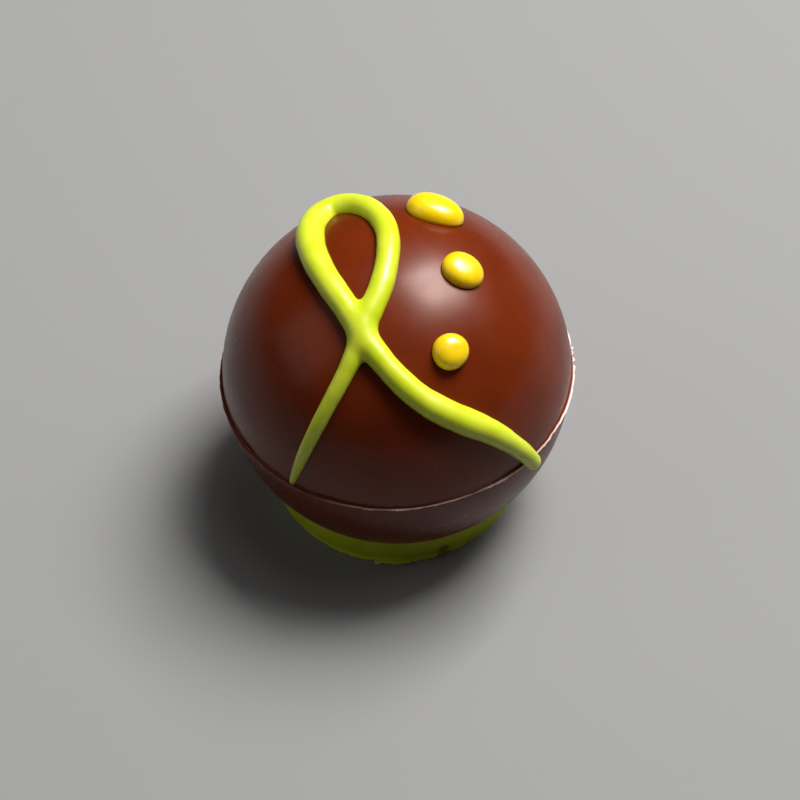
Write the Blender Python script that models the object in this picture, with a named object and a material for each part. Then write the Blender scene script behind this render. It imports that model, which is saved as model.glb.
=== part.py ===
"""A chocolate ball praline: two moulded half shells on a lime green chocolate foot, decorated with a
piped lime green line in the shape of an awareness ribbon and with three yellow drops.

Metres, +Z up. The origin is the centre of the foot's underside, and -Y is the praline's front.
"""

import math

import bmesh
import bpy
import numpy as np
from mathutils import Matrix, Vector

MM = 0.001

# Driving dimensions
BALL_R = 15.0 * MM            # radius of the moulded ball
BALL_HEIGHT = 12.8 * MM       # the ball's centre above the table
BALL_ROLL = math.radians(2.3)  # the ball stands rolled: its seam is higher on the right
GAP = 0.3 * MM                # clearance between neighbouring solids

LIP_REACH = 0.28 * MM         # how far the seam's flash stands out of the ball
LIP_THICK = 0.22 * MM         # thickness of the flash where it leaves the ball
LIP_EDGE = 0.18 * MM          # and at its edge
LIP_UNEVEN = 0.5              # share of its reach by which the flash varies
LIP_WIDER_LEFT = 0.6          # how much of that makes it wider on the left
LIP_WAVES = ((3, 0.25, 0.7), (7, 0.15, 2.1))  # waves round the seam: count, share and phase

FOOT_R = 11.0 * MM            # radius of the foot's wall at the table
FOOT_TOP_R = 10.85 * MM       # and at its top
FOOT_HEIGHT = 2.3 * MM        # the foot's flat top, which carries the ball's flat underside
FOOT_ROUND = 0.15 * MM        # rounding of the top's edge
FOOT_LIP_THICK = 0.16 * MM    # thickness of the broken lip round the foot's lower edge
FOOT_WALL_START = 0.26 * MM   # height at which the wall rises from the lip
# Stretches where that lip is left: first and last angle in degrees, and reach in millimetres.
FOOT_LIPS = (
    (-124.0, -101.0, 0.20),
    (-100.0, -82.0, 0.50),
    (-81.0, -64.0, 0.40),
    (-12.0, 16.0, 0.20),
    (48.0, 86.0, 0.32),
    (128.0, 171.0, 0.22),
)

BALL_SEGMENTS = 72
BALL_RINGS = 13               # rings from the seam to the top of one half
FOOT_SEGMENTS = 64
LINE_STEP = 0.85 * MM         # spacing of the piped line's rings
LINE_SIDES = 14
LINE_RISE = 0.2 * MM          # the round line's axis lies this far above the ball's surface
DROP_SEGMENTS = 28
DROP_RINGS = 6

# The piped line is drawn on a flat map that is wrapped on the ball from its pole, where the front
# slopes at 50 degrees: x runs to the right and y up over the top. Distances from the pole are kept.
POLE_LATITUDE = math.radians(50.0)

# Stations of the line on the map, from the leg's tip over the loop to the arm's end: x, y and half
# the line's width, in millimetres.
LINE_STATIONS = (
    (-10.15, -10.6, 0.28),
    (-8.8, -8.4, 0.47),
    (-7.0, -5.5, 0.60),
    (-5.3, -2.8, 0.66),
    (-3.95, -0.6, 0.72),
    (-2.8, 1.6, 0.86),
    (-1.9, 4.2, 1.05),
    (-0.8, 6.6, 1.00),
    (-0.2, 9.3, 0.97),
    (-0.1, 12.0, 0.98),
    (-0.7, 14.3, 0.98),
    (-2.1, 16.4, 1.02),
    (-4.0, 17.7, 1.08),
    (-5.7, 18.0, 1.15),
    (-7.3, 17.2, 1.22),
    (-8.1, 15.3, 1.25),
    (-7.9, 13.0, 1.25),
    (-6.8, 10.2, 1.18),
    (-5.2, 7.5, 1.12),
    (-3.4, 4.9, 1.10),
    (-2.0, 2.5, 1.08),
    (-0.3, 0.2, 1.02),
    (1.8, -2.0, 1.08),
    (4.0, -3.5, 1.15),
    (6.3, -4.65, 1.17),
    (8.6, -5.75, 1.04),
    (10.8, -7.2, 0.88),
    (12.6, -8.55, 0.80),
    (14.15, -10.0, 0.74),
)
LEG_STATIONS = 14             # stations of the leg and the loop's right side, before the line turns back
LINE_SHARED = 2               # stations that both strands have where one goes over into the other
END_CAP_ANGLES = (70.0, 35.0)  # rings that round off the line's ends, in degrees from its last ring

# The drops: x and y on the map, length, width and height in millimetres, and the turn of the length
# from the map's x, in degrees.
DROPS = (
    ("drop_1", (4.2, 16.2), (5.0, 3.8, 1.5), -32.0),
    ("drop_2", (6.2, 8.65), (3.65, 3.3, 1.2), -32.0),
    ("drop_3", (4.8, 1.3), (3.1, 3.0, 1.2), 20.0),
)

DROP_BASE = 0.94              # share of the drop's widest half length that its flat base has
DROP_FULLNESS = 0.9           # below 1, the dome's shoulder is fuller than a half circle

# Each material's colour, linear, and its roughness
CHOCOLATE = ((0.158, 0.021, 0.0025), 0.25)
LIME = ((0.66, 0.735, 0.006), 0.38)
YELLOW = ((0.92, 0.62, 0.002), 0.23)


def clear_scene():
    for old in list(bpy.data.objects):
        bpy.data.objects.remove(old, do_unlink=True)


def make_material(name, finish):
    colour, roughness = finish
    material = bpy.data.materials.new(name)
    material.use_nodes = True
    shader = material.node_tree.nodes["Principled BSDF"]
    shader.inputs["Base Color"].default_value = (*colour, 1.0)
    shader.inputs["Roughness"].default_value = roughness
    shader.inputs["Metallic"].default_value = 0.0
    return material


def add_object(name, mesh_builder, material):
    """Make an object from a bmesh, with its faces turned outward and shaded smooth."""
    bmesh.ops.recalc_face_normals(mesh_builder, faces=mesh_builder.faces)
    mesh = bpy.data.meshes.new(name)
    mesh_builder.to_mesh(mesh)
    mesh_builder.free()
    mesh.shade_smooth()
    mesh.set_sharp_from_angle(angle=math.radians(35.0))
    mesh.materials.append(material)
    thing = bpy.data.objects.new(name, mesh)
    bpy.context.collection.objects.link(thing)
    return thing


def turned(profile, segments):
    """A closed solid turned about +Z. The profile of (radius, height) starts and ends on the axis."""
    shape = bmesh.new()
    rings = []
    for radius, height in profile:
        if radius == 0.0:
            rings.append([shape.verts.new((0.0, 0.0, height))])
            continue
        angles = (math.tau * step / segments for step in range(segments))
        rings.append(
            [shape.verts.new((radius * math.cos(a), radius * math.sin(a), height)) for a in angles]
        )
    for low, high in zip(rings, rings[1:]):
        for step in range(segments):
            after = (step + 1) % segments
            if len(low) == 1:
                shape.faces.new((low[0], high[step], high[after]))
            elif len(high) == 1:
                shape.faces.new((low[step], low[after], high[0]))
            else:
                shape.faces.new((low[step], low[after], high[after], high[step]))
    return shape


def arc(radius, start, end, steps):
    """Points (radius, height) on a circle about the ball's centre, between two latitudes."""
    latitudes = np.linspace(start, end, steps + 1)
    return [(radius * math.cos(a), radius * math.sin(a)) for a in latitudes]


def ball_frame():
    """The ball's own frame: its seam lies in XY and its centre is the origin."""
    return Matrix.Translation((0.0, 0.0, BALL_HEIGHT)) @ Matrix.Rotation(-BALL_ROLL, 4, "Y")


def lip_share(angle):
    """How much of the flash is left at one angle round the seam."""
    wider = LIP_WIDER_LEFT * max(-math.cos(angle), 0.0) ** 2
    waves = sum(share * math.sin(count * angle + phase) for count, share, phase in LIP_WAVES)
    return 1.0 + LIP_UNEVEN * (wider + waves)


def uneven_lip(shape):
    """Move the flash's edge in and out round the seam."""
    for vert in shape.verts:
        reach = math.hypot(vert.co.x, vert.co.y) - BALL_R
        if reach > 0.5 * LIP_REACH:
            share = lip_share(math.atan2(vert.co.y, vert.co.x))
            scale = (BALL_R + LIP_REACH * share) / (BALL_R + reach)
            vert.co.x *= scale
            vert.co.y *= scale


def make_upper_half(material):
    """The upper half shell, whose thin flash runs round the seam."""
    lip_latitude = math.asin(LIP_THICK / BALL_R)
    profile = [(0.0, 0.0), (BALL_R + LIP_REACH, 0.0), (BALL_R + LIP_REACH, LIP_EDGE)]
    profile += arc(BALL_R, lip_latitude, math.pi / 2, BALL_RINGS)
    profile[-1] = (0.0, BALL_R)
    shape = turned(profile, BALL_SEGMENTS)
    uneven_lip(shape)
    bmesh.ops.transform(shape, matrix=ball_frame(), verts=shape.verts)
    return add_object("upper_half", shape, material)


def make_lower_half(material):
    """The lower half shell, with the flat underside that stands on the foot."""
    seam_latitude = -math.asin(GAP / BALL_R)
    profile = arc(BALL_R, -math.pi / 2, seam_latitude, BALL_RINGS)
    profile[0] = (0.0, -BALL_R)
    profile.append((0.0, -GAP))
    shape = turned(profile, BALL_SEGMENTS)
    bmesh.ops.transform(shape, matrix=ball_frame(), verts=shape.verts)
    cut = bmesh.ops.bisect_plane(
        shape,
        geom=list(shape.verts) + list(shape.edges) + list(shape.faces),
        plane_co=(0.0, 0.0, FOOT_HEIGHT + GAP),
        plane_no=(0.0, 0.0, -1.0),
        clear_outer=True,
    )
    edges = [item for item in cut["geom_cut"] if isinstance(item, bmesh.types.BMEdge)]
    bmesh.ops.contextual_create(shape, geom=edges)
    return add_object("lower_half", shape, material)


def foot_lip(angle):
    """How far the foot's lower lip reaches out at one angle."""
    degrees = (math.degrees(angle) + 180.0) % 360.0 - 180.0
    for first, last, reach in FOOT_LIPS:
        if first <= degrees <= last:
            return reach * MM
    return 0.0


def make_foot(material):
    """The foot: a thick disc with a broken lip at its lower edge."""
    profile = [
        (0.0, 0.0),
        (FOOT_R, 0.0),
        (FOOT_R, FOOT_LIP_THICK),
        (FOOT_R, FOOT_WALL_START),
        (FOOT_TOP_R, FOOT_HEIGHT - FOOT_ROUND),
        (FOOT_TOP_R - FOOT_ROUND, FOOT_HEIGHT),
        (0.0, FOOT_HEIGHT),
    ]
    shape = turned(profile, FOOT_SEGMENTS)
    for vert in shape.verts:
        if vert.co.z < FOOT_WALL_START and math.hypot(vert.co.x, vert.co.y) > FOOT_TOP_R:
            scale = 1.0 + foot_lip(math.atan2(vert.co.y, vert.co.x)) / FOOT_R
            vert.co.x *= scale
            vert.co.y *= scale
    return add_object("foot", shape, material)


def smooth_path(stations, step):
    """Points about one step apart on a smooth curve through the stations of x, y and half width."""
    knots = np.array(stations) * MM
    knots = np.vstack([2 * knots[0] - knots[1], knots, 2 * knots[-1] - knots[-2]])
    points = []
    for before, start, end, after in zip(knots, knots[1:], knots[2:], knots[3:]):
        count = max(1, round(math.dist(start[:2], end[:2]) / step))
        for t in np.arange(count) / count:
            points.append(
                0.5 * (2 * start + (end - before) * t
                       + (2 * before - 5 * start + 4 * end - after) * t**2
                       + (3 * start - before - 3 * end + after) * t**3)
            )
    points.append(knots[-2])
    return points


def on_ball(x, y, radius):
    """The world place of the map point x, y at a radius from the ball's centre."""
    far = math.hypot(x, y)
    turn = far / BALL_R
    pole = Vector((0.0, -math.cos(POLE_LATITUDE), math.sin(POLE_LATITUDE)))
    up = Vector((0.0, math.sin(POLE_LATITUDE), math.cos(POLE_LATITUDE)))
    right = Vector((1.0, 0.0, 0.0))
    sideways = (right * x + up * y) / far if far > 0.0 else right
    return ball_frame() @ ((pole * math.cos(turn) + sideways * math.sin(turn)) * radius)


def strand(stations):
    """A round tube of changing width along a line on the ball, with rounded ends."""
    path = smooth_path(stations, LINE_STEP)
    centre = ball_frame() @ Vector((0.0, 0.0, 0.0))
    places = [on_ball(x, y, BALL_R + LINE_RISE) for x, y, half_width in path]
    widths = [float(half_width) for x, y, half_width in path]
    rings = []
    for index, place in enumerate(places):
        ahead = places[min(index + 1, len(places) - 1)]
        behind = places[max(index - 1, 0)]
        along = (ahead - behind).normalized()
        outward = (place - centre).normalized()
        across = along.cross(outward).normalized()
        rings.append((place, along, outward, across, widths[index]))
    rings = end_cap(rings[0], -1.0) + rings + end_cap(rings[-1], 1.0)[::-1]

    shape = bmesh.new()
    loops = []
    for place, along, outward, across, width in rings:
        angles = (math.tau * (side + 0.5) / LINE_SIDES for side in range(LINE_SIDES))
        loops.append(
            [shape.verts.new(place + width * (across * math.cos(a) + outward * math.sin(a)))
             for a in angles]
        )
    for low, high in zip(loops, loops[1:]):
        for side in range(LINE_SIDES):
            after = (side + 1) % LINE_SIDES
            shape.faces.new((low[side], low[after], high[after], high[side]))
    shape.faces.new(loops[0])
    shape.faces.new(loops[-1])
    return shape


def end_cap(ring, direction):
    """Rings that round off one end of a tube, from the tip inward."""
    place, along, outward, across, width = ring
    cap = []
    for angle in END_CAP_ANGLES:
        a = math.radians(angle)
        tip = place + along * direction * width * math.sin(a)
        cap.append((tip, along, outward, across, width * math.cos(a)))
    return cap


def add_cutter(name, shape):
    cutter = add_object(name, shape, None)
    cutter.hide_render = True
    cutter.display_type = "WIRE"
    return cutter


def add_boolean(thing, operation, cutter):
    modifier = thing.modifiers.new(cutter.name, "BOOLEAN")
    modifier.operation = operation
    modifier.solver = "EXACT"
    modifier.object = cutter


def make_piped_ribbon(material):
    """The piped line: leg, crossing, loop and arm joined into one solid that lies on the ball."""
    ribbon = add_object("piped_ribbon", strand(LINE_STATIONS[:LEG_STATIONS]), material)
    turning_back = LINE_STATIONS[LEG_STATIONS - LINE_SHARED:]
    add_boolean(ribbon, "UNION", add_cutter("left_side_and_arm", strand(turning_back)))
    add_boolean(ribbon, "DIFFERENCE", add_cutter("room_for_ball", room_for_ball()))
    return ribbon


def room_for_ball():
    """The ball and its flash, both larger by the gap."""
    room_r = BALL_R + GAP
    lip_r = room_r + LIP_REACH * (1.0 + LIP_UNEVEN)
    lip_top = LIP_THICK + GAP
    profile = [
        *arc(room_r, -math.pi / 2, -math.asin(GAP / room_r), BALL_RINGS),
        (lip_r, -GAP),
        (lip_r, lip_top),
        *arc(room_r, math.asin(lip_top / room_r), math.pi / 2, BALL_RINGS),
    ]
    profile[0] = (0.0, -room_r)
    profile[-1] = (0.0, room_r)
    shape = turned(profile, BALL_SEGMENTS)
    bmesh.ops.transform(shape, matrix=ball_frame(), verts=shape.verts)
    return shape


def drop_frame(x, y, turn):
    """The frame of a drop: the ball's centre, its length along X and the ball's normal along Z."""
    outward = (on_ball(x, y, BALL_R) - on_ball(x, y, 0.0)).normalized()
    along = on_ball(x + LINE_STEP, y, BALL_R) - on_ball(x - LINE_STEP, y, BALL_R)
    across = outward.cross(along).normalized()
    along = across.cross(outward)
    axes = Matrix((along, across, outward)).transposed().to_4x4()
    return Matrix.Translation(on_ball(x, y, 0.0)) @ axes @ Matrix.Rotation(turn, 4, "Z")


def make_drop(name, place, size, turn, material):
    """One drop: a low dome on a flat base that touches down on the ball's highest point under it."""
    length, width, height = (value * MM for value in size)
    half = length / 2
    base_z = BALL_R + GAP
    dome = height - GAP
    profile = [(0.0, base_z), (DROP_BASE * half, base_z)]
    for step in range(1, DROP_RINGS):
        a = math.pi / 2 * step / DROP_RINGS
        profile.append((half * math.cos(a) ** DROP_FULLNESS, base_z + dome * math.sin(a)))
    profile.append((0.0, base_z + dome))
    shape = turned(profile, DROP_SEGMENTS)
    squeeze = Matrix.Diagonal((1.0, width / length, 1.0, 1.0))
    stand = drop_frame(place[0] * MM, place[1] * MM, math.radians(turn))
    bmesh.ops.transform(shape, matrix=stand @ squeeze, verts=shape.verts)
    return add_object(name, shape, material)


def main():
    clear_scene()
    chocolate = make_material("chocolate", CHOCOLATE)
    lime = make_material("lime_chocolate", LIME)
    yellow = make_material("yellow_chocolate", YELLOW)
    make_upper_half(chocolate)
    make_lower_half(chocolate)
    make_foot(lime)
    make_piped_ribbon(lime)
    for name, place, size, turn in DROPS:
        make_drop(name, place, size, turn, yellow)


main()
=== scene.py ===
"""Looks of a chocolate ball praline: two glossy moulded halves with an uneven seam flash, a lime green
foot, a piped lime green line in the shape of an awareness ribbon and three yellow drops.

Metres, +Z up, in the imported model's frame. -Y is the front.
"""

import math

import bpy
import numpy as np
from mathutils import Matrix, Vector


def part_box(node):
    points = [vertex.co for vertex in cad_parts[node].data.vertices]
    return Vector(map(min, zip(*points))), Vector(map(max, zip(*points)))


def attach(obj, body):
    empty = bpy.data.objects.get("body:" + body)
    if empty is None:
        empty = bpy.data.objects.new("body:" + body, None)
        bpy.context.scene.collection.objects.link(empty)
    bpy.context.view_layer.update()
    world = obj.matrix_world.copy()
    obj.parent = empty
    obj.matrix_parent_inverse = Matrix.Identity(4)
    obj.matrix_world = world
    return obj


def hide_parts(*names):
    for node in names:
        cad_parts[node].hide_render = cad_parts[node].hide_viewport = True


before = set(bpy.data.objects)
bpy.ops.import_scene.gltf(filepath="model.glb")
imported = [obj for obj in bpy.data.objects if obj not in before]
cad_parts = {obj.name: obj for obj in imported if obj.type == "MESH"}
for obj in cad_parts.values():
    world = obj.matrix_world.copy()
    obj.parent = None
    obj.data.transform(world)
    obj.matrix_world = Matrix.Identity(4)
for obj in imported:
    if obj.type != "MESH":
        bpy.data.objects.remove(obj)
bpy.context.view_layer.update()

MM = 0.001

# Sizes that the solids are made to
BALL_R = 15.0 * MM
BALL_ROLL = math.radians(2.3)
BALL_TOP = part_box("upper_half")[1].z
BALL_HEIGHT = BALL_TOP - BALL_R * math.cos(BALL_ROLL)
POLE_LATITUDE = math.radians(50.0)
FOOT_R = 11.0 * MM
FOOT_TOP_R = 10.85 * MM
FOOT_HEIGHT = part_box("foot")[1].z

# The seam's flash
LIP_REACH = 0.22 * MM
LIP_THICK = 0.15 * MM
SEAM_SEGMENTS = 960

SEAM_EDGE_STEPS = 9           # points round the flash's edge
ARC_STEPS = 72                # points on each half's arc
CREASE_FILL = 0.02 * MM       # chocolate that rounds the crease where the flash leaves the ball
CREASE_TURN = 0.006           # latitude that the crease takes up, in radians
CHIPPED = (-4.0, 10.0, 2.0)   # the stretch of the seam whose flash is chipped: first, last, softness

# The foot
FOOT_SEGMENTS = 1080
FOOT_WAVES = ((2, 0.8, 0.5), (3, 0.6, 2.0))  # waves round the wall: count, share and phase
FOOT_UNEVEN = 0.06 * MM       # how far those waves move the wall
FOOT_ROUGH = 0.03 * MM        # and how far finer unevenness does
FOOT_BELLY = 0.10 * MM        # how far the wall bulges
FOOT_RIM = (0.15 * MM, 0.10 * MM)  # rounding of the rim: inward and upward
FOOT_LIP_THICK = 0.10 * MM
CHIP_ANGLE = -68.2            # the chip that curls up from the foot's lip, in degrees
CHIP_WIDTH = 5.2              # in degrees
CHIP_HEIGHT = 0.60 * MM

# The piped line
LINE_RISE = 0.15 * MM         # height of the line's axis above the ball
LINE_BITE = 0.12 * MM         # depth by which the line's underside sinks into the ball
FILLET = 0.7 * MM             # reach of the fillets where the line crosses itself
GRID = 0.12 * MM              # spacing of the grid that the line's surface is drawn from
SOFTEN_ROUNDS = 60            # rounds of averaging that take the kinks out of the line's path
SETTLE_ROUNDS = 4             # rounds of evening out the line's surface
FADE = (3.0 * MM, 4.0 * MM)   # y at which the fillets end, and the stretch in which they fade out

# Stations of the line on the flat map that is wrapped on the ball: x, y and half the line's width,
# in millimetres. The map's pole is where the front slopes at 50 degrees.
LINE_STATIONS = (
    (-10.15, -10.6, 0.28),
    (-8.8, -8.4, 0.47),
    (-7.0, -5.5, 0.60),
    (-5.3, -2.8, 0.66),
    (-3.95, -0.6, 0.72),
    (-2.8, 1.6, 0.86),
    (-1.9, 4.2, 1.05),
    (-0.8, 6.6, 1.00),
    (-0.2, 9.3, 0.97),
    (-0.1, 12.0, 0.98),
    (-0.7, 14.3, 0.98),
    (-2.1, 16.4, 1.02),
    (-4.0, 17.7, 1.08),
    (-5.7, 18.0, 1.15),
    (-7.3, 17.2, 1.22),
    (-8.1, 15.3, 1.25),
    (-7.9, 13.0, 1.25),
    (-6.8, 10.2, 1.18),
    (-5.2, 7.5, 1.12),
    (-3.4, 4.9, 1.10),
    (-2.0, 2.5, 1.08),
    (-0.3, 0.2, 1.02),
    (1.8, -2.0, 1.08),
    (4.0, -3.5, 1.15),
    (6.3, -4.65, 1.17),
    (8.6, -5.75, 1.04),
    (10.8, -7.2, 0.88),
    (12.6, -8.55, 0.80),
    (14.15, -10.0, 0.74),
)

# The drops: x and y on the map, length, width and height in millimetres, the turn of the length from
# the map's x in degrees, and how much fuller one end is than the other.
DROPS = (
    ("drop_1", (4.2, 16.2), (5.0, 3.8, 1.5), -32.0, 0.14),
    ("drop_2", (6.2, 8.65), (3.65, 3.3, 1.2), -32.0, 0.12),
    ("drop_3", (4.8, 1.3), (3.1, 3.0, 1.2), 20.0, 0.04),
)

DROP_SEGMENTS = 96
DROP_SINK = 0.5 * MM          # depth of a drop's underside in the ball
DROP_SHOULDER = 0.12 * MM     # height of a drop's widest ring above the ball
DROP_FULLNESS = (0.8, 0.85)   # below 1, the dome is fuller than a half circle: outward and upward

# Colours, linear
CHOCOLATE = (0.148, 0.019, 0.0022)
CHOCOLATE_DEEP = (0.120, 0.0135, 0.0012)
# the flash's rim: partly its own lighter broken edge, partly painted light shining through it
EDGE_RED = (0.30, 0.075, 0.045)
# painted glint on the flash's rim on the key lamp's side
EDGE_PAINTED_GLINT = (0.93, 0.68, 0.60)
CHIP_BROWN = (0.36, 0.17, 0.07)
AMBER = (0.44, 0.36, 0.008)
LIME = (0.60, 0.70, 0.008)
LIME_PALE = (0.68, 0.76, 0.035)
# painted highlight: the pale outer rim of the foot's lip, where it catches the light
LIME_PAINTED_RIM_GLINT = (0.88, 0.95, 0.30)
YELLOW = (0.95, 0.66, 0.002)
YELLOW_DEEP = (0.92, 0.58, 0.001)
FLOOR_COLOUR = (0.28, 0.277, 0.273)
FLOOR_BOUNCE = (0.14, 0.137, 0.134)

BALL_CENTRE = Vector((0.0, 0.0, BALL_HEIGHT))
BALL_FRAME = Matrix.Translation(BALL_CENTRE) @ Matrix.Rotation(-BALL_ROLL, 4, "Y")


# ---------------------------------------------------------------- materials


def new_material(name):
    material = bpy.data.materials.new(name)
    material.use_nodes = True
    return material, material.node_tree, material.node_tree.nodes["Principled BSDF"]


def noise(tree, scale, detail=2.0, roughness=0.5, stretch=(1.0, 1.0, 1.0)):
    """Noise over the object's own coordinates. scale is in features for each metre."""
    place = tree.nodes.new("ShaderNodeTexCoord")
    mapping = tree.nodes.new("ShaderNodeMapping")
    mapping.inputs["Scale"].default_value = stretch
    texture = tree.nodes.new("ShaderNodeTexNoise")
    texture.inputs["Scale"].default_value = scale
    texture.inputs["Detail"].default_value = detail
    texture.inputs["Roughness"].default_value = roughness
    tree.links.new(place.outputs["Object"], mapping.inputs["Vector"])
    tree.links.new(mapping.outputs["Vector"], texture.inputs["Vector"])
    return texture.outputs["Fac"]


def ramp(tree, factor, low, high):
    """Map the noise's middle range to values or colours from low to high."""
    node = tree.nodes.new("ShaderNodeMapRange")
    node.interpolation_type = "SMOOTHSTEP"
    node.inputs["From Min"].default_value = 0.32
    node.inputs["From Max"].default_value = 0.68
    node.inputs["To Min"].default_value = low
    node.inputs["To Max"].default_value = high
    tree.links.new(factor, node.inputs["Value"])
    return node.outputs["Result"]


def mix_colours(tree, factor, first, second):
    node = tree.nodes.new("ShaderNodeMix")
    node.data_type = "RGBA"
    tree.links.new(factor, node.inputs["Factor"])
    for socket, value in ((node.inputs["A"], first), (node.inputs["B"], second)):
        if isinstance(value, tuple):
            socket.default_value = (*value, 1.0)
        else:
            tree.links.new(value, socket)
    return node.outputs["Result"]


def bump(tree, shader, height, distance, strength):
    node = tree.nodes.new("ShaderNodeBump")
    node.inputs["Distance"].default_value = distance
    node.inputs["Strength"].default_value = strength
    tree.links.new(height, node.inputs["Height"])
    tree.links.new(node.outputs["Normal"], shader.inputs["Normal"])


def farther_out(tree, start, end):
    """0 up to the distance start from the ball's centre, and 1 from the distance end."""
    place = tree.nodes.new("ShaderNodeTexCoord")
    reach = tree.nodes.new("ShaderNodeVectorMath")
    reach.operation = "DISTANCE"
    reach.inputs[1].default_value = BALL_CENTRE
    tree.links.new(place.outputs["Object"], reach.inputs[0])
    node = tree.nodes.new("ShaderNodeMapRange")
    node.inputs["From Min"].default_value = start
    node.inputs["From Max"].default_value = end
    tree.links.new(reach.outputs["Value"], node.inputs["Value"])
    return node.outputs["Result"]


def key_side_painted_glint(tree):
    """0 on the praline's left and 1 on its right, towards the key lamp: the mask of the painted glint
    that makes the flash paler there.
    """
    place = tree.nodes.new("ShaderNodeTexCoord")
    parts = tree.nodes.new("ShaderNodeSeparateXYZ")
    tree.links.new(place.outputs["Object"], parts.inputs["Vector"])
    node = tree.nodes.new("ShaderNodeMapRange")
    node.inputs["From Min"].default_value = -0.45 * BALL_R
    node.inputs["From Max"].default_value = 0.1 * BALL_R
    tree.links.new(parts.outputs["X"], node.inputs["Value"])
    return node.outputs["Result"]


def chocolate_material():
    """Tempered chocolate from a polished mould: an even brown with a soft, slightly uneven shine."""
    material, tree, shader = new_material("chocolate")
    clouds = noise(tree, 160.0, detail=3.0)
    colour = mix_colours(tree, ramp(tree, clouds, 0.0, 1.0), CHOCOLATE, CHOCOLATE_DEEP)
    # The flash's outer rim is painted paler than the chocolate. This is partly the lighter colour of
    # its thin broken edge and partly painted light shining through it. A painted glint grows towards
    # the key lamp on the right.
    edge = mix_colours(tree, key_side_painted_glint(tree), EDGE_RED, EDGE_PAINTED_GLINT)
    flash = farther_out(tree, BALL_R + 0.09 * MM, BALL_R + 0.23 * MM)
    colour = mix_colours(tree, flash, colour, edge)
    tree.links.new(colour, shader.inputs["Base Color"])
    shine = noise(tree, 300.0, detail=2.0)
    tree.links.new(ramp(tree, shine, 0.26, 0.33), shader.inputs["Roughness"])
    shader.inputs["IOR"].default_value = 1.47
    shader.inputs["Specular IOR Level"].default_value = 0.34
    shader.inputs["Specular Tint"].default_value = (1.0, 0.85, 0.78, 1.0)
    bump(tree, shader, noise(tree, 500.0, detail=1.0), 0.00003, 0.2)
    return material


def near(tree, centre, reach):
    """1 at a place on the piece, fading to 0 at reach from it."""
    place = tree.nodes.new("ShaderNodeTexCoord")
    distance = tree.nodes.new("ShaderNodeVectorMath")
    distance.operation = "DISTANCE"
    distance.inputs[1].default_value = centre
    tree.links.new(place.outputs["Object"], distance.inputs[0])
    node = tree.nodes.new("ShaderNodeMapRange")
    node.inputs["From Min"].default_value = reach
    node.inputs["From Max"].default_value = 0.45 * reach
    tree.links.new(distance.outputs["Value"], node.inputs["Value"])
    return node.outputs["Result"]


def cocoa_butter_material(name, colour, second, roughness, gloss, stains=(), rim=False):
    """Coloured white chocolate that set in the air: smooth and slightly translucent.

    stains are places of another colour: centre, reach and colour. rim paints a pale thin lower edge: a
    painted highlight where the foot's lip catches the light."""
    material, tree, shader = new_material(name)
    clouds = noise(tree, 500.0, detail=3.0)
    mixed = mix_colours(tree, ramp(tree, clouds, 0.0, 1.0), colour, second)
    if rim:
        # Painted highlight: the outer rim of the foot's lip is painted pale where it catches the light.
        lip = math.hypot(FOOT_R, BALL_HEIGHT)
        mixed = mix_colours(tree, farther_out(tree, lip + 0.12 * MM, lip + 0.32 * MM), mixed, LIME_PAINTED_RIM_GLINT)
    for centre, reach, stain in stains:
        mixed = mix_colours(tree, near(tree, centre, reach), mixed, stain)
    tree.links.new(mixed, shader.inputs["Base Color"])
    shine = noise(tree, 900.0, detail=2.0)
    tree.links.new(ramp(tree, shine, roughness - 0.04, roughness + 0.05), shader.inputs["Roughness"])
    shader.inputs["IOR"].default_value = 1.46
    shader.inputs["Specular IOR Level"].default_value = gloss
    shader.inputs["Subsurface Weight"].default_value = 0.18
    shader.inputs["Subsurface Radius"].default_value = (1.0, 0.8, 0.2)
    shader.inputs["Subsurface Scale"].default_value = 0.001
    bump(tree, shader, noise(tree, 1500.0, detail=2.0), 0.00004, 0.08)
    return material


# ---------------------------------------------------------------- meshes


def add_piece(name, verts, faces, material, nodes):
    """A smooth-shaded piece that rides on the praline and stands for CAD nodes."""
    mesh = bpy.data.meshes.new(name)
    mesh.from_pydata(np.asarray(verts, float).tolist(), [], faces)
    mesh.validate()
    mesh.update()
    mesh.shade_smooth()
    mesh.materials.append(material)
    piece = bpy.data.objects.new(name, mesh)
    bpy.context.scene.collection.objects.link(piece)
    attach(piece, "root")
    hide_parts(*nodes)
    return piece


def turned_faces(ring_count, segments, closed_start, closed_end):
    """Faces of a turned shape: ring_count rings of segments verts, then the poles that close it."""
    faces = []
    for ring in range(ring_count - 1):
        low, high = ring * segments, (ring + 1) * segments
        for step in range(segments):
            after = (step + 1) % segments
            faces.append((low + step, low + after, high + after, high + step))
    start_pole = ring_count * segments
    end_pole = start_pole + int(closed_start)
    last = (ring_count - 1) * segments
    for step in range(segments):
        after = (step + 1) % segments
        if closed_start:
            faces.append((start_pole, after, step))
        if closed_end:
            faces.append((end_pole, last + step, last + after))
    return faces


def turned(profile_at, segments):
    """Verts and faces of a solid turned about +Z. profile_at(angle) gives its (radius, height) points
    from the lower pole to the upper one; the first and the last lie on the axis."""
    angles = np.arange(segments) * math.tau / segments
    profiles = np.array([profile_at(angle) for angle in angles])
    rings = profiles[:, 1:-1]
    across = np.cos(angles)[:, None]
    along = np.sin(angles)[:, None]
    verts = np.stack([rings[:, :, 0] * across, rings[:, :, 0] * along, rings[:, :, 1]], -1)
    verts = verts.transpose(1, 0, 2).reshape(-1, 3)
    poles = [(0.0, 0.0, profiles[0, 0, 1]), (0.0, 0.0, profiles[0, -1, 1])]
    return np.vstack([verts, poles]), turned_faces(rings.shape[1], segments, True, True)


def moved(verts, matrix):
    verts = np.asarray(verts, float)
    return verts @ np.array(matrix.to_3x3()).T + np.array(matrix.translation)


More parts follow.
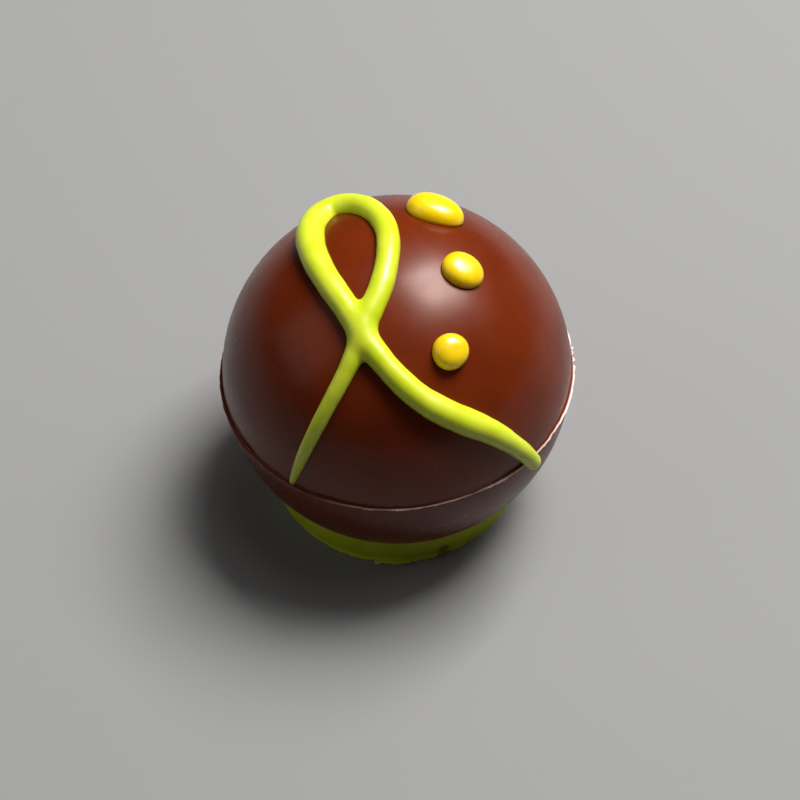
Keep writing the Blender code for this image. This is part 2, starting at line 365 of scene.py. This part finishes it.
def waves(angle, terms):
    """A sum of sines round a ring: terms of (count, share, phase)."""
    return sum(share * math.sin(count * angle + phase) for count, share, phase in terms)


def within(angle, first, last, soft):
    """1 between two angles in degrees and 0 outside, with edges soft degrees wide."""
    degrees = math.degrees(angle)
    middle = (first + last) / 2
    off = abs((degrees - middle + 180.0) % 360.0 - 180.0) - (last - first) / 2
    return min(max(0.5 - off / soft, 0.0), 1.0)


def ring_noise(knots, seed):
    """A smooth random value from -1 to 1 round a ring, with one knot in each share of the turn."""
    values = np.random.default_rng(seed).uniform(-1.0, 1.0, knots)

    def at(angle):
        place = angle / math.tau * knots % knots
        low = int(place)
        part = place - low
        part = part * part * (3.0 - 2.0 * part)
        return values[low % knots] * (1.0 - part) + values[(low + 1) % knots] * part

    return at


# Stretches of the seam where the flash is wider or broken: first and last angle in degrees, the
# change of its reach in millimetres, and how soft the stretch's ends are in degrees.
FLASH_STEPS = (
    (120.0, 169.5, -0.10, 0.8),
    (170.0, 215.0, 0.12, 2.0),
    (215.0, 262.0, 0.04, 8.0),
    (325.0, 395.0, 0.05, 9.0),
    (396.0, 401.0, -0.18, 1.2),
    (428.0, 431.0, 0.08, 1.2),
    (462.0, 467.0, -0.18, 1.0),
)


COARSE = ring_noise(34, 1)
MEDIUM = ring_noise(120, 2)
FINE = ring_noise(420, 3)
THICKNESS = ring_noise(150, 4)


def flash_reach(angle):
    """How far the seam's flash stands out of the ball."""
    chipped = within(angle, *CHIPPED)
    uneven = 0.05 * COARSE(angle) + 0.035 * MEDIUM(angle) + (0.02 + 0.15 * chipped) * FINE(angle)
    steps = sum(change * within(angle, first, last, soft) for first, last, change, soft in FLASH_STEPS)
    return max(LIP_REACH + (uneven + steps) * MM, 0.03 * MM)


def seam_height(angle):
    """The flash's middle wanders a little above and below the seam's plane."""
    return (0.05 * COARSE(angle + 1.0) + 0.025 * MEDIUM(angle + 1.0)) * MM


def upper_profile(angle):
    """The upper half at one angle: the seam plane, the flash's rounded edge and the ball's arc."""
    reach = flash_reach(angle)
    middle = seam_height(angle)
    half = LIP_THICK / 2 * (1.0 + 0.35 * THICKNESS(angle))
    points = [(0.0, middle - half), (0.6 * BALL_R, middle - half), (BALL_R, middle - half)]
    for a in np.linspace(-math.pi / 2, math.pi / 2, SEAM_EDGE_STEPS):
        points.append((BALL_R + reach - half + half * math.cos(a), middle + half * math.sin(a)))
    start = math.asin((middle + half) / BALL_R)
    points.append((BALL_R * math.cos(start) + CREASE_FILL, middle + half + 0.4 * CREASE_FILL))
    for a in np.linspace(start + CREASE_TURN, math.pi / 2, ARC_STEPS):
        points.append((BALL_R * math.cos(a), BALL_R * math.sin(a)))
    points[-1] = (0.0, BALL_R)
    return points


def lower_profile(angle):
    """The lower half at one angle: its arc up to the flash, and the seam plane."""
    middle = seam_height(angle)
    bottom = -math.pi / 2
    top = math.asin((middle - 0.3 * LIP_THICK) / BALL_R)
    arc = [(BALL_R * math.cos(a), BALL_R * math.sin(a)) for a in np.linspace(bottom, top, ARC_STEPS)]
    arc[0] = (0.0, -BALL_R)
    return arc + [(0.9 * BALL_R, middle), (0.0, middle)]


def make_halves(material):
    upper, faces = turned(upper_profile, SEAM_SEGMENTS)
    add_piece("upper_half_shell", moved(upper, BALL_FRAME), faces, material, ["upper_half"])
    lower, faces = turned(lower_profile, SEAM_SEGMENTS)
    lower = moved(lower, BALL_FRAME)
    # What would be inside the foot is flattened just below the foot's top.
    lower[:, 2] = np.maximum(lower[:, 2], 0.9 * FOOT_HEIGHT)
    add_piece("lower_half_shell", lower, faces, material, ["lower_half"])


# Stretches where a thin lip is left round the foot's lower edge: first and last angle in degrees,
# reach in millimetres and how soft the ends are in degrees.
FOOT_LIPS = (
    (-136.0, -120.0, 0.08, 8.0),
    (-123.0, -112.0, 0.20, 5.0),
    (-112.0, -100.6, 0.30, 3.0),
    (-100.0, -84.0, 0.56, 0.6),
    (-86.0, -78.0, 0.42, 7.0),
    (-80.0, -71.0, 0.34, 6.0),
    (-70.5, -66.0, 0.90, 1.2),
    (-66.0, -58.0, 0.20, 5.0),
    (-12.0, 16.0, 0.20, 5.0),
    (48.0, 86.0, 0.32, 3.0),
    (86.0, 97.0, 0.15, 4.0),
    (128.0, 171.0, 0.22, 5.0),
)
def foot_lip(angle):
    reach = max(share * within(angle, first, last, soft) for first, last, share, soft in FOOT_LIPS)
    return reach * (1.0 + 0.16 * MEDIUM(angle) + 0.08 * FINE(angle)) * MM


def foot_profile(angle):
    """The foot at one angle: flat underside, thin broken lip, wall and the rim against the ball."""
    wall = FOOT_R + FOOT_UNEVEN * waves(angle, FOOT_WAVES) + FOOT_ROUGH * COARSE(angle)
    lip = foot_lip(angle)
    chip = within(angle, CHIP_ANGLE - CHIP_WIDTH / 2, CHIP_ANGLE + CHIP_WIDTH / 2, 1.5)
    curl = lip * (0.16 + 0.14 * THICKNESS(angle)) + CHIP_HEIGHT * chip
    top_r = FOOT_TOP_R
    touch = math.acos(top_r / BALL_R)
    rim_z = BALL_HEIGHT - BALL_R * math.sin(touch)
    thick = FOOT_LIP_THICK
    points = [(0.0, 0.0), (0.8 * wall, 0.0), (wall, 0.0)]
    for share in (0.3, 0.6, 0.9):
        points.append((wall + share * lip, curl * share**2))
    points.append((wall + lip, curl + 0.4 * thick))
    for share in (0.9, 0.6, 0.3):
        points.append((wall + share * lip, curl * share**2 + thick))
    points.append((wall, 1.6 * thick))
    low = points[-1][1]
    for share in np.linspace(0.12, 0.9, 10):
        belly = FOOT_BELLY * math.sin(math.pi * share)
        points.append((wall + (top_r - wall) * share + belly, low + (rim_z - low) * share))
    inward, upward = FOOT_RIM
    for turn in (30.0, 60.0, 90.0):
        a = math.radians(turn)
        points.append((top_r - inward * (1 - math.cos(a)), rim_z + upward * math.sin(a)))
    # The dish under the ball, which doesn't show
    points.append((0.9 * top_r, rim_z - 0.5 * MM))
    points.append((0.0, rim_z - 0.6 * MM))
    return points


def make_foot(material):
    verts, faces = turned(foot_profile, FOOT_SEGMENTS)
    add_piece("green_foot", verts, faces, material, ["foot"])


# ---------------------------------------------------------------- the piped line


def smooth_path(stations, step):
    """Points about one step apart on a smooth curve through the stations of x, y and half width."""
    knots = np.array(stations) * MM
    knots = np.vstack([2 * knots[0] - knots[1], knots, 2 * knots[-1] - knots[-2]])
    points = []
    for before, start, end, after in zip(knots, knots[1:], knots[2:], knots[3:]):
        count = max(1, round(math.dist(start[:2], end[:2]) / step))
        for t in np.arange(count) / count:
            points.append(
                0.5 * (2 * start + (end - before) * t
                       + (2 * before - 5 * start + 4 * end - after) * t**2
                       + (3 * start - before - 3 * end + after) * t**3)
            )
    points.append(knots[-2])
    return np.array(points)


def on_ball(x, y, radius):
    """The place of the map point x, y at a radius from the ball's centre, in the ball's own frame."""
    far = math.hypot(x, y)
    turn = far / BALL_R
    pole = np.array((0.0, -math.cos(POLE_LATITUDE), math.sin(POLE_LATITUDE)))
    up = np.array((0.0, math.sin(POLE_LATITUDE), math.cos(POLE_LATITUDE)))
    right = np.array((1.0, 0.0, 0.0))
    sideways = (right * x + up * y) / far if far > 0.0 else right
    return (pole * math.cos(turn) + sideways * math.sin(turn)) * radius


def line_beads():
    """Centres and radii of the close-set beads whose union is the whole line."""
    path = smooth_path(LINE_STATIONS, GRID)
    for _ in range(SOFTEN_ROUNDS):
        path[1:-1] = (path[:-2] + 2 * path[1:-1] + path[2:]) / 4
    run = np.arange(len(path)) * GRID / MM
    wobble = 0.012 * np.sin(1.9 * run) + 0.005 * np.sin(4.3 * run + 1.0)
    radii = path[:, 2] * (1.0 + wobble)
    centres = np.array([on_ball(x, y, BALL_R + LINE_RISE) for x, y, _ in path])
    return centres, radii


def bead_field(beads, origin, shape):
    """Distance to the nearest bead's surface at each point of a grid, as far as it matters."""
    far = 1.0 * MM
    field = np.full(shape, far, np.float32)
    for centre, radius in zip(*beads):
        low = np.maximum(np.floor((centre - radius - far - origin) / GRID).astype(int), 0)
        high = np.minimum(np.ceil((centre + radius + far - origin) / GRID).astype(int) + 1, shape)
        axes = [origin[k] + GRID * np.arange(low[k], high[k]) - centre[k] for k in range(3)]
        x, y, z = np.meshgrid(*axes, indexing="ij", sparse=True)
        near = np.sqrt(x * x + y * y + z * z) - radius
        part = field[low[0]:high[0], low[1]:high[1], low[2]:high[2]]
        np.minimum(part, near, out=part)
    return field


def smooth_union(first, second, reach):
    """The union of two fields, filled in where they meet."""
    blend = np.clip(0.5 + 0.5 * (second - first) / np.maximum(reach, 1e-9), 0.0, 1.0)
    return second + (first - second) * blend - reach * blend * (1.0 - blend)


def sample(field, points, origin):
    """The field's value at points, by trilinear interpolation."""
    place = (points - origin) / GRID
    cell = np.clip(np.floor(place).astype(int), 0, np.array(field.shape) - 2)
    part = place - cell
    value = np.zeros(len(points))
    for i in (0, 1):
        for j in (0, 1):
            for k in (0, 1):
                weight = (
                    np.where(i, part[:, 0], 1 - part[:, 0])
                    * np.where(j, part[:, 1], 1 - part[:, 1])
                    * np.where(k, part[:, 2], 1 - part[:, 2])
                )
                value += weight * field[cell[:, 0] + i, cell[:, 1] + j, cell[:, 2] + k]
    return value


def surface_net(field, origin):
    """Verts and quads of the field's zero surface: one vert in each grid cell that it crosses."""
    inside = field < 0
    cells = np.zeros(np.array(field.shape) - 1, np.int8)
    corners = [(i, j, k) for i in (0, 1) for j in (0, 1) for k in (0, 1)]
    span = [slice(0, -1), slice(1, None)]
    for i, j, k in corners:
        cells += inside[span[i], span[j], span[k]]
    crossed = np.argwhere((cells > 0) & (cells < 8))
    index = np.full(cells.shape, -1, np.int64)
    index[tuple(crossed.T)] = np.arange(len(crossed))

    total = np.zeros((len(crossed), 3))
    count = np.zeros(len(crossed))
    for corner in corners:
        for axis in range(3):
            if corner[axis]:
                continue
            a = crossed + corner
            b = a.copy()
            b[:, axis] += 1
            value_a, value_b = field[tuple(a.T)], field[tuple(b.T)]
            hit = (value_a < 0) != (value_b < 0)
            share = value_a[hit] / (value_a[hit] - value_b[hit])
            point = a[hit].astype(float)
            point[:, axis] += share
            total[hit] += point
            count[hit] += 1
    verts = origin + GRID * total / count[:, None]

    quads = []
    for axis in range(3):
        one, two = (axis + 1) % 3, (axis + 2) % 3
        low = np.take(inside, range(field.shape[axis] - 1), axis)
        high = np.take(inside, range(1, field.shape[axis]), axis)
        edges = np.argwhere(low != high)
        turned_in = low[tuple(edges.T)]
        ring = []
        for step_one, step_two in ((0, 0), (-1, 0), (-1, -1), (0, -1)):
            cell = edges.copy()
            cell[:, one] += step_one
            cell[:, two] += step_two
            ring.append(index[tuple(cell.T)])
        ring = np.stack(ring, 1)
        quads.append(np.where(turned_in[:, None], ring, ring[:, ::-1]))
    return verts, np.vstack(quads)


def settle(verts, quads, field, origin):
    """Even out the net: each vert goes to its neighbours' middle and back to the zero surface."""
    edges = np.vstack([quads[:, [0, 1]], quads[:, [1, 2]], quads[:, [2, 3]], quads[:, [3, 0]]])
    steps = np.eye(3) * GRID / 2
    for _ in range(SETTLE_ROUNDS):
        total = np.zeros_like(verts)
        count = np.zeros(len(verts))
        np.add.at(total, edges[:, 0], verts[edges[:, 1]])
        np.add.at(count, edges[:, 0], 1.0)
        verts = 0.5 * verts + 0.5 * total / count[:, None]
        slope = np.stack(
            [sample(field, verts + s, origin) - sample(field, verts - s, origin) for s in steps], 1
        ) / GRID
        push = sample(field, verts, origin) / np.maximum((slope**2).sum(1), 0.25)
        verts = verts - slope * push[:, None]
    return verts


def make_piped_ribbon(material):
    """The piped line: a bead of chocolate that crosses itself, with the crossing run together."""
    centres, radii = line_beads()
    middle = len(centres) // 2
    first = (centres[:middle], radii[:middle])
    second = (centres[middle - 1:], radii[middle - 1:])
    margin = 2.0 * MM
    origin = centres.min(0) - margin
    shape = np.ceil((centres.max(0) + margin - origin) / GRID).astype(int) + 1

    axes = [origin[k] + GRID * np.arange(shape[k]) for k in range(3)]
    x, y, z = np.meshgrid(*axes, indexing="ij", sparse=True)
    # The strands are one line at the loop's top, so fillets fade out towards the back of the ball.
    end, stretch = FADE
    fade = np.clip((end - y) / stretch, 0.0, 1.0).astype(np.float32)
    field = smooth_union(
        bead_field(first, origin, shape), bead_field(second, origin, shape), FILLET * fade
    )
    ball = np.sqrt(x * x + y * y + z * z) - (BALL_R - LINE_BITE)
    field = np.maximum(field, -ball).astype(np.float32)
    verts, quads = surface_net(field, origin)
    verts = settle(verts, quads, field, origin)
    add_piece(
        "green_piped_ribbon", moved(verts, BALL_FRAME), quads.tolist(), material,
        ["piped_ribbon"],
    )


# ---------------------------------------------------------------- the drops


def drop_frame(x, y, turn):
    """The frame of a drop: the ball's centre, its length along X and the ball's normal along Z."""
    outward = Vector(on_ball(x, y, 1.0))
    along = Vector(on_ball(x + MM, y, 1.0) - on_ball(x - MM, y, 1.0))
    across = outward.cross(along).normalized()
    along = across.cross(outward)
    axes = Matrix((along, across, outward)).transposed().to_4x4()
    return BALL_FRAME @ axes @ Matrix.Rotation(turn, 4, "Z")


def make_drop(name, place, size, turn, fuller, material):
    """One drop: a dome that set with a round shoulder, standing slightly over its own foot."""
    length, width, height = (value * MM for value in size)
    half = length / 2
    squeeze = width / length
    outward, upward = DROP_FULLNESS

    def profile_at(angle):
        outline = 1.0 + fuller * math.cos(angle) + waves(angle, ((2, 0.012, 0.6), (3, 0.012, 1.3)))
        reach = half * outline
        sink = [(0.0, BALL_R - DROP_SINK), (0.5 * reach, BALL_R - DROP_SINK)]
        foot_r = 0.96 * reach
        foot_z = math.sqrt(BALL_R**2 - (foot_r * (squeeze + (1 - squeeze) * math.cos(angle) ** 2)) ** 2)
        sink.append((0.93 * reach, foot_z - 0.15 * MM))
        sink.append((foot_r, foot_z))
        top = BALL_R + height
        shoulder = foot_z + DROP_SHOULDER
        rise = top - shoulder
        dome = []
        for a in np.linspace(0.02, math.pi / 2, 26):
            dome.append((reach * math.cos(a) ** outward, shoulder + rise * math.sin(a) ** upward))
        dome[-1] = (0.0, top)
        return sink + dome

    verts, faces = turned(profile_at, DROP_SEGMENTS)
    verts[:, 1] *= squeeze
    stand = drop_frame(place[0] * MM, place[1] * MM, math.radians(turn))
    add_piece("yellow_" + name, moved(verts, stand), faces, material, [name])


# ---------------------------------------------------------------- stage, lamps and camera


def make_floor():
    bpy.ops.mesh.primitive_plane_add(size=4.0, location=(0.0, 0.0, 0.0))
    floor = bpy.context.object
    floor.name = "floor"
    material, tree, shader = new_material("floor")
    path = tree.nodes.new("ShaderNodeLightPath")
    seen = path.outputs["Is Camera Ray"]
    for name in ("Is Glossy Ray", "Is Transmission Ray"):
        either = tree.nodes.new("ShaderNodeMath")
        either.operation = "MAXIMUM"
        tree.links.new(seen, either.inputs[0])
        tree.links.new(path.outputs[name], either.inputs[1])
        seen = either.outputs["Value"]
    colour = mix_colours(tree, seen, FLOOR_BOUNCE, FLOOR_COLOUR)
    tree.links.new(colour, shader.inputs["Base Color"])
    shader.inputs["Roughness"].default_value = 0.9
    shader.inputs["Specular IOR Level"].default_value = 0.2
    floor.data.materials.append(material)


def add_softbox(name, direction, distance, size, power):
    """A square area lamp that faces the ball's centre from a direction."""
    lamp = bpy.data.lights.new(name, "AREA")
    lamp.shape = "SQUARE"
    lamp.size = size
    lamp.energy = power
    holder = bpy.data.objects.new(name, lamp)
    bpy.context.scene.collection.objects.link(holder)
    direction = Vector(direction).normalized()
    holder.location = BALL_CENTRE + direction * distance
    holder.rotation_euler = direction.to_track_quat("Z", "Y").to_euler()


def light_scene():
    add_softbox("key", (0.36, 0.31, 0.88), 0.5, 0.24, 4.0)
    add_softbox("key_haze", (0.36, 0.28, 0.89), 0.5, 0.55, 0.7)
    add_softbox("left_fill", (-0.85, -0.10, 0.53), 0.6, 0.4, 0.29)
    world = bpy.data.worlds.new("studio")
    bpy.context.scene.world = world
    world.use_nodes = True
    background = world.node_tree.nodes["Background"]
    background.inputs["Color"].default_value = (1.0, 1.0, 1.0, 1.0)
    background.inputs["Strength"].default_value = 0.03


def make_camera():
    """The camera looks down at 50 degrees from 16 ball radii away."""
    elevation = math.radians(50.0)
    distance = 16.0 * BALL_R
    camera = bpy.data.cameras.new("camera")
    camera.lens = 125.4
    camera.sensor_width = 36.0
    camera.clip_start = 0.01
    holder = bpy.data.objects.new("camera", camera)
    bpy.context.scene.collection.objects.link(holder)
    back = Vector((0.0, -math.cos(elevation), math.sin(elevation)))
    holder.location = BALL_CENTRE + back * distance
    up = Vector((0.0, math.sin(elevation), math.cos(elevation)))
    aim = BALL_CENTRE - up * 0.00265 + Vector((0.00026, 0.0, 0.0))
    holder.rotation_euler = (aim - holder.location).to_track_quat("-Z", "Y").to_euler()
    bpy.context.scene.camera = holder


bpy.context.scene.view_settings.view_transform = "Standard"
chocolate = chocolate_material()
chip_at = Vector((FOOT_R + 0.5 * MM, 0.0, CHIP_HEIGHT))
chip_at.rotate(Matrix.Rotation(math.radians(CHIP_ANGLE), 3, "Z"))
line_ends = (
    (BALL_FRAME @ Vector(on_ball(14.6 * MM, -10.5 * MM, BALL_R)), 1.1 * MM, AMBER),
    (BALL_FRAME @ Vector(on_ball(-10.3 * MM, -10.9 * MM, BALL_R)), 1.0 * MM, AMBER),
)
lime = cocoa_butter_material("lime_chocolate", LIME, LIME_PALE, 0.35, 0.7, line_ends)
# the foot's material, with the painted highlight on its lip's rim
lime_foot = cocoa_butter_material(
    "lime_foot", LIME, LIME_PALE, 0.42, 0.5, ((chip_at, 0.9 * MM, CHIP_BROWN),), rim=True
)
yellow = cocoa_butter_material("yellow_chocolate", YELLOW, YELLOW_DEEP, 0.28, 0.8)
make_halves(chocolate)
make_foot(lime_foot)
make_piped_ribbon(lime)
for drop_name, drop_place, drop_size, drop_turn, drop_fuller in DROPS:
    make_drop(drop_name, drop_place, drop_size, drop_turn, drop_fuller, yellow)
make_floor()
light_scene()
make_camera()
